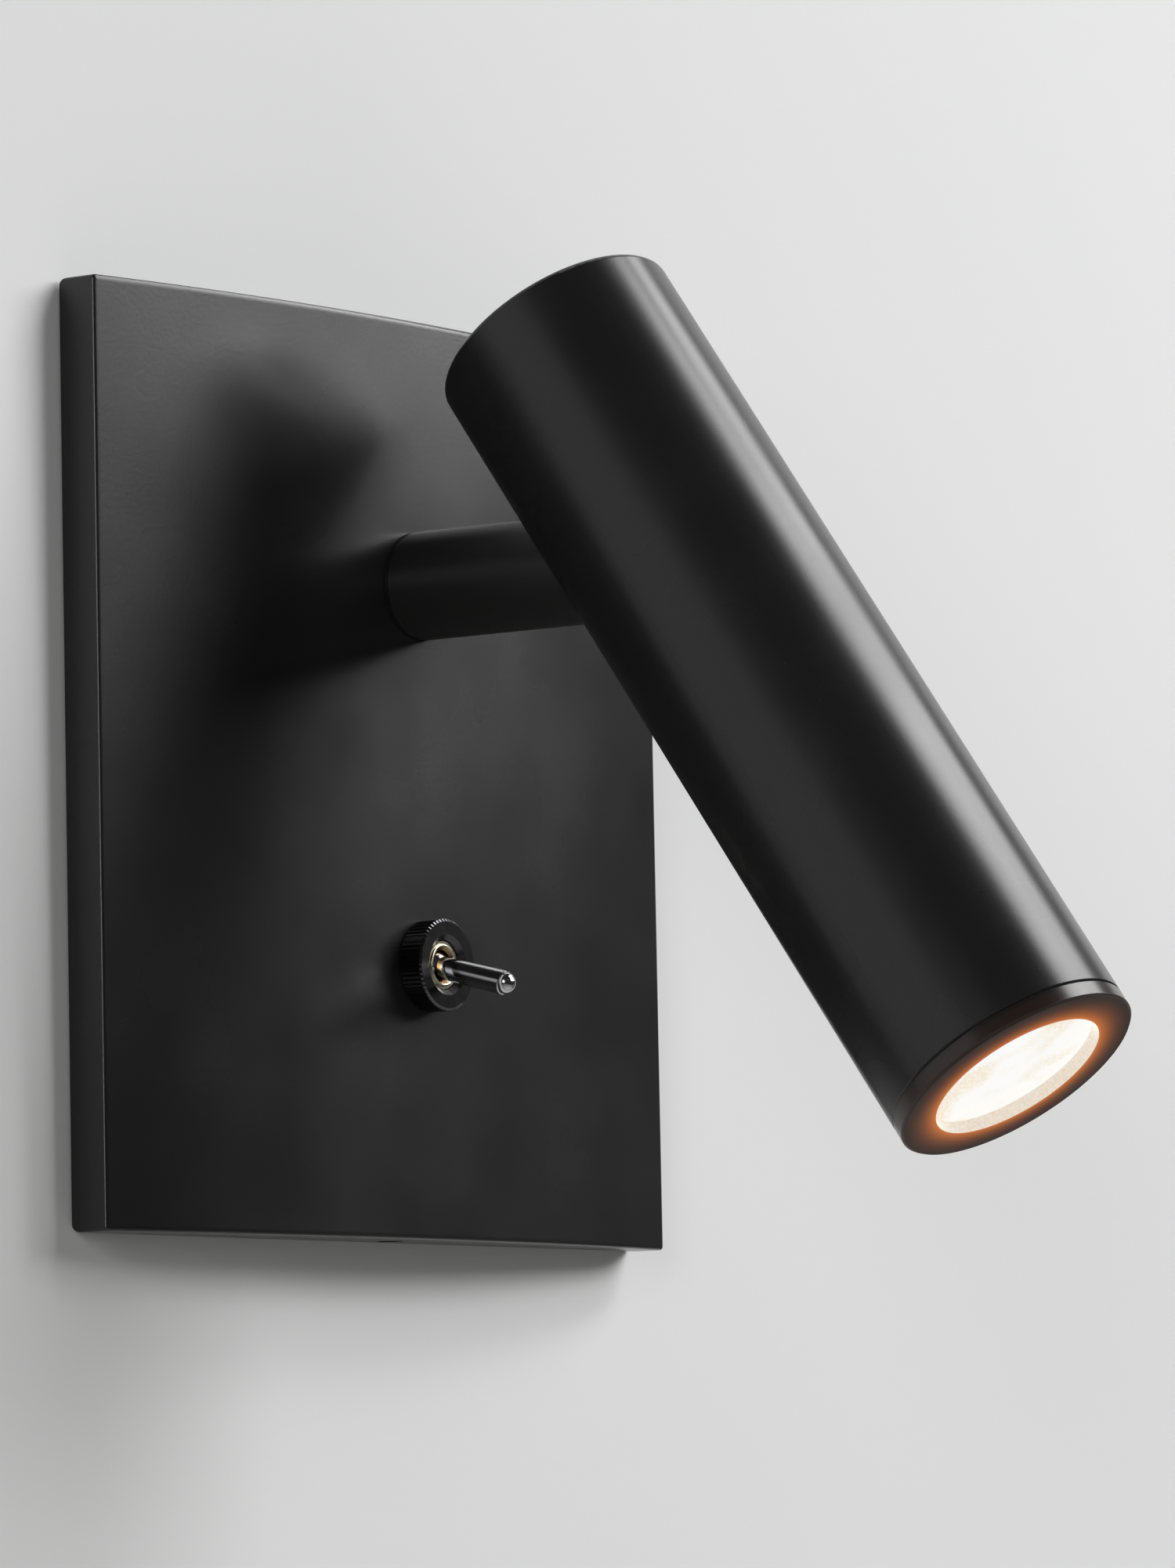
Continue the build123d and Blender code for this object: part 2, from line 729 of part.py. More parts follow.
# ---- head: lamp end ----

fin_gaps = 12
gap_width = 2.4
gap_floor = 7.0
flange_back = sink_front - 3.0
board_screw_spacing = 15.6
screw_seat = 20.0
with BuildPart() as heat_sink:
    with BuildSketch(head.offset(block_half)):
        Circle(tube_bore - 0.1)
        with PolarLocations(gap_floor, fin_gaps, start_angle=90):
            Rectangle(8.0, gap_width, align=(Align.MIN, Align.CENTER), mode=Mode.SUBTRACT)
    extrude(amount=flange_back - block_half)
    with BuildSketch(head.offset(flange_back)):
        Circle(tube_bore - 0.1)
        with Locations((0, gap_floor)):
            Rectangle(gap_width, 8.0, align=(Align.CENTER, Align.MIN), mode=Mode.SUBTRACT)
    extrude(amount=sink_front - flange_back)
    with BuildSketch(head.offset(block_half)):
        Circle(2.15)
    extrude(amount=sink_front, mode=Mode.SUBTRACT)
    with BuildSketch(head.offset(screw_seat)):
        Circle(3.7)
    extrude(amount=sink_front, mode=Mode.SUBTRACT)
    with BuildSketch(head.offset(sink_front)):
        with GridLocations(board_screw_spacing, 1, 2, 1):
            Circle(1.0)
    extrude(amount=-4.0, mode=Mode.SUBTRACT)
heat_sink.part.label = "heat_sink"
export_step(heat_sink.part, "parts/heat_sink.step")

core_screw_end = 8.6
with BuildPart() as core_screw:
    with BuildSketch(head.offset(core_screw_end)):
        Circle(1.98)
    extrude(amount=screw_seat - core_screw_end)
    with BuildSketch(head.offset(screw_seat)):
        Circle(3.5)
    extrude(amount=4.0)
    with BuildSketch(head.offset(screw_seat + 4.0)):
        RegularPolygon(1.5, 6, major_radius=False)
    extrude(amount=-2.0, mode=Mode.SUBTRACT)
core_screw.part.label = "core_screw"
export_step(core_screw.part, "parts/core_screw.step")

with BuildPart() as led_board:
    with BuildSketch(head.offset(sink_front)):
        Circle(10.5)
        with Locations((0, gap_floor)):
            Rectangle(gap_width + 0.4, 5.0, align=(Align.CENTER, Align.MIN), mode=Mode.SUBTRACT)
        with GridLocations(board_screw_spacing, 1, 2, 1):
            Circle(1.1, mode=Mode.SUBTRACT)
    extrude(amount=board_front - sink_front)
led_board.part.label = "led_board"
export_step(led_board.part, "parts/led_board.step")

with BuildPart() as board_screws:
    with BuildSketch(head.offset(sink_front - 3.6)):
        with GridLocations(board_screw_spacing, 1, 2, 1):
            Circle(0.98)
    extrude(amount=board_front - sink_front + 3.6)
    with BuildSketch(head.offset(board_front)):
        with GridLocations(board_screw_spacing, 1, 2, 1):
            Circle(1.9)
    extrude(amount=1.3)
    with BuildSketch(head.offset(board_front + 1.3)):
        with GridLocations(board_screw_spacing, 1, 2, 1):
            Rectangle(4.0, 0.5, rotation=35)
    extrude(amount=-0.6, mode=Mode.SUBTRACT)
board_screws.part.label = "board_screws"
export_step(board_screws.part, "parts/board_screws.step")

led_dome = 1.7
with BuildPart() as led:
    with BuildSketch(head.offset(board_front)):
        RectangleRounded(5.0, 5.0, 0.4)
    extrude(amount=0.8)
    with BuildSketch(section(head)):
        with Locations((0, board_front + 0.8)):
            Circle(led_dome)
            Rectangle(4 * led_dome, 2 * led_dome, align=(Align.CENTER, Align.MAX), mode=Mode.SUBTRACT)
            Rectangle(2 * led_dome, 4 * led_dome, align=(Align.MAX, Align.CENTER), mode=Mode.SUBTRACT)
    revolve(axis=axis_of(head))
led.part.label = "led"
export_step(led.part, "parts/led.step")

# Collimating optic: a flared cup of clear resin with a well over the LED.
optic_back = board_front + 1.2
with BuildPart() as optic:
    with BuildSketch(section(head)):
        with BuildLine():
            Polyline((2.6, optic_back), (4.0, optic_back))
            ThreePointArc((4.0, optic_back), (7.9, optic_back + 7.6), (9.8, holder_front - 1.6))
            Polyline(
                (9.8, holder_front - 1.6),
                (10.9, holder_front - 1.6),
                (10.9, holder_front),
                (0, holder_front),
                (0, optic_back + 5.0),
                (2.3, optic_back + 4.0),
                (2.6, optic_back),
            )
        make_face()
    revolve(axis=axis_of(head))
optic.part.label = "optic"
export_step(optic.part, "parts/optic.step")

with BuildPart() as optic_holder:
    with BuildSketch(section(head)):
        with BuildLine():
            Polyline(
                (11.0, sink_front),
                (tube_bore - 0.1, sink_front),
                (tube_bore - 0.1, sink_front + 3.0),
                (12.7, sink_front + 4.0),
                (12.7, holder_front),
                (11.0, holder_front),
                (11.0, holder_front - 1.65),
                (9.95, holder_front - 1.65),
                (9.95, holder_front - 3.2),
                (11.0, holder_front - 4.6),
                close=True,
            )
        make_face()
    revolve(axis=axis_of(head))
optic_holder.part.label = "optic_holder"
export_step(optic_holder.part, "parts/optic_holder.step")

seal_radius = (lens_back - holder_front) / 2
with BuildPart() as lens_seal:
    with BuildSketch(section(head)):
        with Locations((11.8, holder_front + seal_radius)):
            Circle(seal_radius - 0.01)
    revolve(axis=axis_of(head))
lens_seal.part.label = "lens_seal"
export_step(lens_seal.part, "parts/lens_seal.step")

with BuildPart() as front_lens:
    with BuildSketch(head.offset(lens_back)):
        Circle(lens_radius)
    extrude(amount=lens_front - lens_back)
    chamfer(front_lens.edges().filter_by(GeomType.CIRCLE), 0.15)
front_lens.part.label = "front_lens"
export_step(front_lens.part, "parts/front_lens.step")

# The front ring's sleeve screws into the tube, and its lip holds the lens.
with BuildPart() as front_ring:
    with BuildSketch(section(head)):
        with BuildLine():
            Polyline(
                (lens_radius + 0.15, holder_front - 5.0),
                (tube_bore - 0.03, holder_front - 5.0),
                (tube_bore - 0.03, tube_front),
                (tube_radius - joint_chamfer, tube_front),
                (tube_radius, tube_front + joint_chamfer),
                (tube_radius, ring_front - 0.3),
                (tube_radius - 0.3, ring_front),
                (opening_radius, ring_front),
                (opening_radius, lens_front),
                (lens_radius + 0.15, lens_front),
                close=True,
            )
        make_face()
    revolve(axis=axis_of(head))
front_ring.part.label = "front_ring"
export_step(front_ring.part, "parts/front_ring.step")

lead_height = 8.6
with BuildPart() as head_leads:
    for side in (-1, 1):
        start = head.from_local_coords((side * lead_gap, lead_height, 1.0))
        turn = head.from_local_coords((side * lead_gap, lead_height, board_front + 1.6))
        pad = head.from_local_coords((side * lead_gap, lead_height - 3.0, board_front + 1.6))
        with BuildLine():
            FilletPolyline(start, turn, pad, radius=1.0)
        with BuildSketch(Plane(origin=start, x_dir=head.x_dir, z_dir=head.z_dir)):
            Circle(lead_radius)
        sweep()
head_leads.part.label = "head_leads"
export_step(head_leads.part, "parts/head_leads.step")

# ---- leads behind the wall plate ----

# Each route is a list of (x, depth from the wall, z) with one radius for its bends.
block_side = block_height / 2 + 0.05
lug_lead_depth = 1.25
supply_routes = [
    [
        (block_x + 1.0, 3.6, -block_side),
        (block_x + 1.0, 3.6, -12.0),
        (7.6, lug_lead_depth, switch_height + contact_step),
        (1.05, lug_lead_depth, switch_height + contact_step),
    ],
    [
        (block_x + 1.0, 3.6, block_side),
        (block_x + 1.0, 3.6, 12.0),
        (8.0, 1.7, 19.0),
        (lead_gap, 1.7, arm_height),
        (lead_gap, stem_back + 0.2, arm_height),
    ],
]
switched_route = [
    (-1.05, lug_lead_depth, switch_height),
    (-6.6, lug_lead_depth, switch_height),
    (-5.6, 2.6, -12.0),
    (-3.0, 2.6, 8.0),
    (-2.4, 1.7, 16.0),
    (-lead_gap, 1.7, arm_height),
    (-lead_gap, stem_back + 0.2, arm_height),
]


def lead_points(route):
    return [Vector(x, -depth, z) for x, depth, z in route]


with BuildPart() as supply_leads:
    for route in supply_routes:
        points = lead_points(route)
        with BuildLine():
            FilletPolyline(points, radius=1.2)
        with BuildSketch(Plane(origin=points[0], z_dir=points[1] - points[0])):
            Circle(lead_radius)
        sweep()
supply_leads.part.label = "supply_leads"
export_step(supply_leads.part, "parts/supply_leads.step")

with BuildPart() as switched_lead:
    points = lead_points(switched_route)
    with BuildLine():
        FilletPolyline(points, radius=1.2)
    with BuildSketch(Plane(origin=points[0], z_dir=points[1] - points[0])):
        Circle(lead_radius)
    sweep()
switched_lead.part.label = "switched_lead"
export_step(switched_lead.part, "parts/switched_lead.step")
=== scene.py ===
import math

import bmesh
import bpy
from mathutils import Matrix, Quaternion, Vector


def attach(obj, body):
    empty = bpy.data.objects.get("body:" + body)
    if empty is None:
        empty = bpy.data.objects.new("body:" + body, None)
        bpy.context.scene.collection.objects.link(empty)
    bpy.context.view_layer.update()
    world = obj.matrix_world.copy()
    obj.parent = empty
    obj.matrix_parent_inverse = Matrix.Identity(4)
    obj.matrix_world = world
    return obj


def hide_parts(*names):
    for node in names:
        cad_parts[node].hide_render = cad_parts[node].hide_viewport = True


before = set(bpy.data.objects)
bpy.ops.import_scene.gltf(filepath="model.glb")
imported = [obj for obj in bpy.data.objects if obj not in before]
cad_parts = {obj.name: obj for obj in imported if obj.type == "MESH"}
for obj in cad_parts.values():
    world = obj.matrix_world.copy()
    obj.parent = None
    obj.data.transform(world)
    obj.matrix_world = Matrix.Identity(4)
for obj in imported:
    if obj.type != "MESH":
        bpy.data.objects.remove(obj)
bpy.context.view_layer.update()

# ---- Camera ----
# A long lens a metre off, to the lamp's left and a little below it, so that the plate is seen edge
# on at its left side and the lit end of the head faces the picture's lower right corner.

# angles in degrees, the focal length in millimetres, the distance and the shift aside in metres
bearing, height_angle, roll = -54.395, -5.391, -1.111
focal_length, camera_distance, camera_aside = 191.385, 1.00004, 0.02775
toward_camera = Vector(
    (
        math.sin(math.radians(bearing)) * math.cos(math.radians(height_angle)),
        -math.cos(math.radians(bearing)) * math.cos(math.radians(height_angle)),
        math.sin(math.radians(height_angle)),
    )
)
camera_turn = toward_camera.to_track_quat("Z", "Y") @ Quaternion((0, 0, 1), math.radians(roll))
camera = bpy.data.objects.new("camera", bpy.data.cameras.new("camera"))
bpy.context.scene.collection.objects.link(camera)
bpy.context.scene.camera = camera
camera.data.lens = focal_length
camera.data.clip_start = 0.05
camera.rotation_mode = "QUATERNION"
camera.rotation_quaternion = camera_turn
camera.location = camera_turn @ Vector((camera_aside, 0, camera_distance))
bpy.context.scene.view_settings.view_transform = "Standard"

# ---- Wall plate ----
# A square cover pressed from 1.5 mm steel and bowed about an upright axis. It is powder coated
# satin black, and grub screws through its top and bottom edges hold it to the bracket.


def linear(colour):
    """The linear colour of an sRGB hex value."""
    channels = [int(colour[i : i + 2], 16) / 255 for i in (1, 3, 5)]
    return [c / 12.92 if c <= 0.04045 else ((c + 0.055) / 1.055) ** 2.4 for c in channels] + [1.0]


def finish_named(name, **settings):
    """A new material and its Principled shader, with the values that are the same all over the
    surface."""
    material = bpy.data.materials.new(name)
    material.use_nodes = True
    shader = material.node_tree.nodes["Principled BSDF"]
    for socket, value in settings.items():
        shader.inputs[socket.replace("_", " ").title().replace("Ior", "IOR")].default_value = value
    return material, shader


def add(material, kind, sockets=None, **settings):
    """Adds one node: settings are its own properties, and each socket takes a value or an output.

    A colour Mix has its factor at 0, its colours at 6 and 7 and its result at 2. A Map Range reads
    from 1 to 2 and gives 3 to 4.
    """
    node = material.node_tree.nodes.new("ShaderNode" + kind)
    for setting, value in settings.items():
        setattr(node, setting, value)
    for socket, value in (sockets or {}).items():
        if isinstance(value, bpy.types.NodeSocket):
            material.node_tree.links.new(value, node.inputs[socket])
        else:
            node.inputs[socket].default_value = value
    return node


def join(material, output, socket):
    material.node_tree.links.new(output, socket)


def per_mm(size):
    """The texture scale whose pattern repeats about every size millimetres."""
    return 1000 / size


def coat(material, *nodes):
    for name in nodes:
        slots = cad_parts[name].data.materials
        slots.clear()
        slots.append(material)


# in millimetres, except for the share of the cells that hold a speck
cloud_size, dust_cell, dust_radius, dust_share = 22, 9, 0.07, 0.45
sheen_range = 0.03


def satin_powder_coat(name, peel_size, peel_height, roughness, ior):
    """Polyester powder coat, satin black: the powder melts to a fine orange peel that breaks up
    highlights."""
    material, shader = finish_named(name, ior=ior)
    place = add(material, "TexCoord").outputs["Object"]
    peel = add(material, "TexNoise", {"Vector": place, "Scale": per_mm(peel_size), "Detail": 3.0})
    cloud = add(material, "TexNoise", {"Vector": place, "Scale": per_mm(cloud_size), "Detail": 3.0})
    pigment = add(
        material,
        "Mix",
        {0: cloud.outputs[0], 6: linear("#1c1c1c"), 7: linear("#232222")},
        data_type="RGBA",
    )
    # a few specks of house dust, about 0.14 mm across
    dust = add(material, "TexVoronoi", {"Vector": place, "Scale": per_mm(dust_cell)})
    spot = add(
        material,
        "Math",
        {0: dust.outputs["Distance"], 1: dust_radius / dust_cell},
        operation="LESS_THAN",
    )
    cell_chance = add(material, "SeparateColor", {0: dust.outputs["Color"]})
    dusty_cell = add(
        material,
        "Math",
        {0: cell_chance.outputs[0], 1: dust_share},
        operation="LESS_THAN",
    )
    speck = add(
        material,
        "Math",
        {0: spot.outputs[0], 1: dusty_cell.outputs[0]},
        operation="MULTIPLY",
    )
    colour = add(
        material,
        "Mix",
        {0: speck.outputs[0], 6: pigment.outputs[2], 7: linear("#8a8782")},
        data_type="RGBA",
    )
    join(material, colour.outputs[2], shader.inputs["Base Color"])
    sheen_drift = add(
        material,
        "MapRange",
        {
            "Value": cloud.outputs[0],
            1: 0.3,
            2: 0.7,
            3: roughness - sheen_range,
            4: roughness + sheen_range,
        },
    )
    join(material, sheen_drift.outputs[0], shader.inputs["Roughness"])
    bump = add(
        material,
        "Bump",
        {"Height": peel.outputs[0], "Distance": peel_height / 1000, "Strength": 1.0},
    )
    join(material, bump.outputs[0], shader.inputs["Normal"])
    return material


plate_coat = satin_powder_coat(
    "satin_powder_coat_on_plate",
    peel_size=0.55,
    peel_height=0.008,
    roughness=0.26,
    ior=1.5,
)
coat(plate_coat, "backplate")

# The coat's own film, 0.03 mm thick, runs over the bowed front and round its edges, and ends flush
# on the sides. Each row round the plate is given by its inset from the sides and its drop below the
# front, in mm.
plate_half, crown_depth, side_depth, corner_radius = 55.0, 10.0, 5.0, 0.5
edge_radius, film, least_bend, edge_steps, bow_steps = 0.4, 0.03, 0.04, 5, 96
bow_radius = (plate_half**2 + (crown_depth - side_depth) ** 2) / (2 * (crown_depth - side_depth))
first_turn = math.degrees(math.acos(1 - film / (edge_radius + film)))
# the first two rows lie on the sides, a hair under the solid's surface
film_rows = [(0.0004, edge_radius - 0.03), (0.0001, edge_radius - 0.09)]
for turn in [first_turn + (90 - first_turn) * k / edge_steps for k in range(edge_steps + 1)]:
    film_rows.append(
        (
            (edge_radius + film) * (1 - math.cos(math.radians(turn))) - film,
            edge_radius - (edge_radius + film) * math.sin(math.radians(turn)),
        )
    )
film_rows.append((edge_radius + 0.35, -film))
across = [-1 + 2 * k / bow_steps for k in range(bow_steps + 1)]


def film_row(inset, drop):
    """One closed row round the plate: top edge, right side, bottom edge and left side, with rounded
    corners."""
    half = plate_half - inset
    bend = max(corner_radius - inset, least_bend)
    flat = half - bend
    corner = [math.radians(a) for a in (75, 60, 45, 30, 15)]
    top = [(flat * a, half) for a in across]
    top_right = [(flat + bend * math.cos(a), flat + bend * math.sin(a)) for a in corner]
    right = [(half, flat), (half, -flat)]
    bottom_right = [
        (flat + bend * math.cos(a), -flat - bend * math.sin(a)) for a in reversed(corner)
    ]
    outline = top + top_right + right + bottom_right
    outline += [(-x, -z) for x, z in outline]
    return [
        (
            x / 1000,
            -(crown_depth - bow_radius + math.sqrt(bow_radius**2 - x**2) - drop) / 1000,
            z / 1000,
        )
        for x, z in outline
    ]


mesh = bmesh.new()
rows = [[mesh.verts.new(point) for point in film_row(*row)] for row in film_rows]
for row, inner in zip(rows, rows[1:]):
    for k in range(len(row)):
        following = (k + 1) % len(row)
        mesh.faces.new((row[k], row[following], inner[following], inner[k]))
inner, columns = rows[-1], len(across)
bottom_start = len(inner) // 2
for k in range(columns - 1):
    mesh.faces.new(
        (
            inner[k],
            inner[k + 1],
            inner[bottom_start + columns - 2 - k],
            inner[bottom_start + columns - 1 - k],
        )
    )
mesh.faces.new(inner[columns - 1 : bottom_start + 1])
mesh.faces.new(inner[bottom_start + columns - 1 :] + [inner[0]])
bmesh.ops.recalc_face_normals(mesh, faces=mesh.faces)
for face in mesh.faces:
    face.smooth = True
coat_film = bpy.data.objects.new("plate_coat_film", bpy.data.meshes.new("plate_coat_film"))
mesh.to_mesh(coat_film.data)
mesh.free()
bpy.context.scene.collection.objects.link(coat_film)
coat_film.data.materials.append(plate_coat)
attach(coat_film, "base")

# ---- Wall bracket and plate fixings ----
# A cross-shaped bracket pressed from 1.2 mm steel and zinc plated, with two slots for the wall
# screws and a tab at each end, where a clinch nut takes the plate's grub screw.


def zinc_plate(name, colour, roughness):
    """Clear-passivated zinc on steel: pale grey with faint yellow and blue clouds and a soft
    crystalline grain."""
    material, shader = finish_named(name, metallic=1.0)
    place = add(material, "TexCoord").outputs["Object"]
    bloom = add(material, "TexNoise", {"Vector": place, "Scale": per_mm(7), "Detail": 4.0})
    grain = add(material, "TexNoise", {"Vector": place, "Scale": per_mm(0.35), "Detail": 2.0})
    tint = add(
        material,
        "Mix",
        {0: bloom.outputs[0], 6: linear("#b9b3a0"), 7: linear(colour)},
        data_type="RGBA",
    )
    join(material, tint.outputs[2], shader.inputs["Base Color"])
    haze = add(
        material,
        "MapRange",
        {"Value": grain.outputs[0], 1: 0.3, 2: 0.7, 3: roughness - 0.08, 4: roughness + 0.08},
    )
    join(material, haze.outputs[0], shader.inputs["Roughness"])
    bump = add(
        material,
        "Bump",
        {"Height": grain.outputs[0], "Distance": 0.000006, "Strength": 1.0},
    )
    join(material, bump.outputs[0], shader.inputs["Normal"])
    return material


bracket_zinc = zinc_plate("zinc_plated_bracket_steel", "#aeb4ba", roughness=0.36)
coat(bracket_zinc, "wall_bracket", "cover_nuts")

# Black oxide on the grub screws is a thin conversion coat: the steel stays a metal to the eye,
# blue-black and a little oily.
grub_black, shader = finish_named("black_oxide_grub_screw", metallic=1.0)
place = add(grub_black, "TexCoord").outputs["Object"]
oil = add(grub_black, "TexNoise", {"Vector": place, "Scale": per_mm(0.8), "Detail": 3.0})
tint = add(
    grub_black,
    "Mix",
    {0: oil.outputs[0], 6: linear("#26282b"), 7: linear("#3a3a3b")},
    data_type="RGBA",
)
join(grub_black, tint.outputs[2], shader.inputs["Base Color"])
haze = add(grub_black, "MapRange", {"Value": oil.outputs[0], 3: 0.3, 4: 0.48})
join(grub_black, haze.outputs[0], shader.inputs["Roughness"])
coat(grub_black, "cover_screws")

# ---- Cable grommet and lens seal ----
# Black nitrile rubber, compression moulded. The grommet lines the cable's hole in the bracket, and
# the seal is an O-ring under the front lens. The rubber looks soft and dull, with a faint chalky
# bloom in patches.

nitrile, shader = finish_named("moulded_nitrile_rubber", ior=1.52)
place = add(nitrile, "TexCoord").outputs["Object"]
skin = add(nitrile, "TexNoise", {"Vector": place, "Scale": per_mm(0.5), "Detail": 3.0})
chalk = add(nitrile, "TexNoise", {"Vector": place, "Scale": per_mm(3), "Detail": 2.0})
tint = add(
    nitrile,
    "Mix",
    {0: chalk.outputs[0], 6: linear("#151516"), 7: linear("#232323")},
    data_type="RGBA",
)
join(nitrile, tint.outputs[2], shader.inputs["Base Color"])
haze = add(nitrile, "MapRange", {"Value": skin.outputs[0], 3: 0.5, 4: 0.7})
join(nitrile, haze.outputs[0], shader.inputs["Roughness"])
bump = add(nitrile, "Bump", {"Height": skin.outputs[0], "Distance": 0.000015, "Strength": 1.0})
join(nitrile, bump.outputs[0], shader.inputs["Normal"])
coat(nitrile, "cable_grommet", "lens_seal")

# ---- Terminal block ----
# Two poles in a moulded nylon block beside the cable's hole, each with a screw for the supply and
# one for the lamp's own lead.


def moulded_nylon(name, low, high, roughness):
    """Injection-moulded nylon: a little light goes in, and the tool's fine spark texture dulls it
    evenly."""
    material, shader = finish_named(name, ior=1.53)
    place = add(material, "TexCoord").outputs["Object"]
    spark = add(material, "TexNoise", {"Vector": place, "Scale": per_mm(0.25), "Detail": 2.0})
    flow = add(material, "TexNoise", {"Vector": place, "Scale": per_mm(5), "Detail": 2.0})
    tint = add(
        material,
        "Mix",
        {0: flow.outputs[0], 6: linear(low), 7: linear(high)},
        data_type="RGBA",
    )
    join(material, tint.outputs[2], shader.inputs["Base Color"])
    haze = add(
        material,
        "MapRange",
        {"Value": spark.outputs[0], 3: roughness - 0.08, 4: roughness + 0.08},
    )
    join(material, haze.outputs[0], shader.inputs["Roughness"])
    bump = add(
        material,
        "Bump",
        {"Height": spark.outputs[0], "Distance": 0.000008, "Strength": 1.0},
    )
    join(material, bump.outputs[0], shader.inputs["Normal"])
    return material


white_nylon = moulded_nylon("moulded_white_nylon", "#d8d5c9", "#e3e1d8", roughness=0.45)
coat(white_nylon, "terminal_block", "inner_washer")
screw_zinc = zinc_plate("zinc_plated_screw_steel", "#c3c7c9", roughness=0.28)
coat(screw_zinc, "terminal_screws")

# ---- Arm swivel ----
# The arm's hollow stem turns in a black nylon bush in the plate. Behind it a white nylon washer, a
# tabbed stop washer, a dished spring washer and a thin nut hold it, and the tab meets a pin on the
# plate.

black_nylon = moulded_nylon("moulded_black_nylon", "#161616", "#202020", roughness=0.42)
coat(black_nylon, "swivel_bush", "pivot_bushes")
coat(screw_zinc, "stop_pin", "stop_washer", "spring_washer", "swivel_nut")

# The stem is threaded steel. A fine thread of 0.75 mm pitch shows as bands across it.
thread_steel, shader = finish_named("zinc_plated_thread", metallic=1.0)
place = add(thread_steel, "TexCoord").outputs["Object"]
turns = add(
    thread_steel,
    "TexWave",
    {"Vector": place, "Scale": per_mm(0.75) * math.pi / 10, "Distortion": 0.0},
    wave_type="BANDS",
    bands_direction="Y",
)
grime = add(thread_steel, "TexNoise", {"Vector": place, "Scale": per_mm(1.5), "Detail": 3.0})
tint = add(
    thread_steel,
    "Mix",
    {0: grime.outputs[0], 6: linear("#8f8b80"), 7: linear("#bfc3c4")},
    data_type="RGBA",
)
join(thread_steel, tint.outputs[2], shader.inputs["Base Color"])
haze = add(thread_steel, "MapRange", {"Value": grime.outputs[0], 3: 0.22, 4: 0.42})
join(thread_steel, haze.outputs[0], shader.inputs["Roughness"])
bump = add(thread_steel, "Bump", {"Height": turns.outputs[1], "Distance": 0.0003, "Strength": 1.0})
join(thread_steel, bump.outputs[0], shader.inputs["Normal"])
coat(thread_steel, "swivel_stem")

# ---- Arm ----
# Turned aluminium bar with a flat-sided eye at its end, on which the head tilts. It is coated satin
# black like the plate, with a finer peel and a duller sheen.

arm_coat = satin_powder_coat(
    "satin_powder_coat_on_arm",
    peel_size=0.4,
    peel_height=0.005,
    roughness=0.38,
    ior=1.4,
)
coat(arm_coat, "arm")

# ---- Toggle switch body ----
# A miniature toggle behind the plate: a red phenolic case in a folded steel frame, with three
# silver-plated lugs and a rocking contact inside. The moulded phenolic is glossy, its resin's flow
# showing as a soft marbling.

phenolic, shader = finish_named("moulded_red_phenolic", ior=1.55)
place = add(phenolic, "TexCoord").outputs["Object"]
flow = add(phenolic, "TexNoise", {"Vector": place, "Scale": per_mm(1.2), "Detail": 4.0})
tint = add(
    phenolic,
    "Mix",
    {0: flow.outputs[0], 6: linear("#7d1a18"), 7: linear("#95241f")},
    data_type="RGBA",
)
join(phenolic, tint.outputs[2], shader.inputs["Base Color"])
haze = add(phenolic, "MapRange", {"Value": flow.outputs[0], 3: 0.25, 4: 0.4})
join(phenolic, haze.outputs[0], shader.inputs["Roughness"])
coat(phenolic, "switch_case")
coat(screw_zinc, "switch_washer", "switch_frame")

# Silver plating on the lugs and the contact: a warm white metal, clouded yellowish where it has
# tarnished.
silver, shader = finish_named("silver_plated_brass", metallic=1.0)
place = add(silver, "TexCoord").outputs["Object"]
tarnish = add(silver, "TexNoise", {"Vector": place, "Scale": per_mm(0.9), "Detail": 3.0})
tint = add(
    silver,
    "Mix",
    {0: tarnish.outputs[0], 6: linear("#cfc4a6"), 7: linear("#e9e7e0")},
    data_type="RGBA",
)
join(silver, tint.outputs[2], shader.inputs["Base Color"])
haze = add(silver, "MapRange", {"Value": tarnish.outputs[0], 3: 0.2, 4: 0.42})
join(silver, haze.outputs[0], shader.inputs["Roughness"])
coat(silver, "switch_lugs", "contact_rocker")

# ---- Switch bushing ----
# A turned brass bushing, threaded outside, nickel plated. Its rolled-in lip shows inside the ring
# nut as a bright warm-white rim, and its mouth is tinted warm brass as a painted golden reflection.

mouth_centre, mouth_radius, mouth_blend = Vector((0, -0.0127, -0.0225)), 0.0021, 0.0002
nickel, shader = finish_named("nickel_plated_brass", metallic=1.0)
place = add(nickel, "TexCoord").outputs["Object"]
tool_marks = add(nickel, "TexNoise", {"Vector": place, "Scale": per_mm(0.3), "Detail": 3.0})
tint = add(
    nickel,
    "Mix",
    {0: tool_marks.outputs[0], 6: linear("#c3b89b"), 7: linear("#e2ddcf")},
    data_type="RGBA",
)
# painted golden reflection: the metal inside the mouth is tinted warm brass
from_mouth = add(nickel, "VectorMath", {0: place, 1: mouth_centre}, operation="DISTANCE")
mouth = add(
    nickel,
    "MapRange",
    {
        "Value": from_mouth.outputs["Value"],
        1: mouth_radius,
        2: mouth_radius + mouth_blend,
        3: 1.0,
        4: 0.0,
    },
)
painted_golden_reflection = add(
    nickel,
    "Mix",
    {0: mouth.outputs[0], 6: tint.outputs[2], 7: linear("#8d744b")},
    data_type="RGBA",
)
join(nickel, painted_golden_reflection.outputs[2], shader.inputs["Base Color"])
haze = add(nickel, "MapRange", {"Value": tool_marks.outputs[0], 3: 0.14, 4: 0.3})
join(nickel, haze.outputs[0], shader.inputs["Roughness"])
coat(nickel, "switch_bushing")

# ---- Ring nut ----
# Turned brass with a straight knurl, chamfered ends and a countersunk bore, plated black nickel.
# The ridges' ends are rubbed bright along the front chamfer and catch the light as a row of sparks.


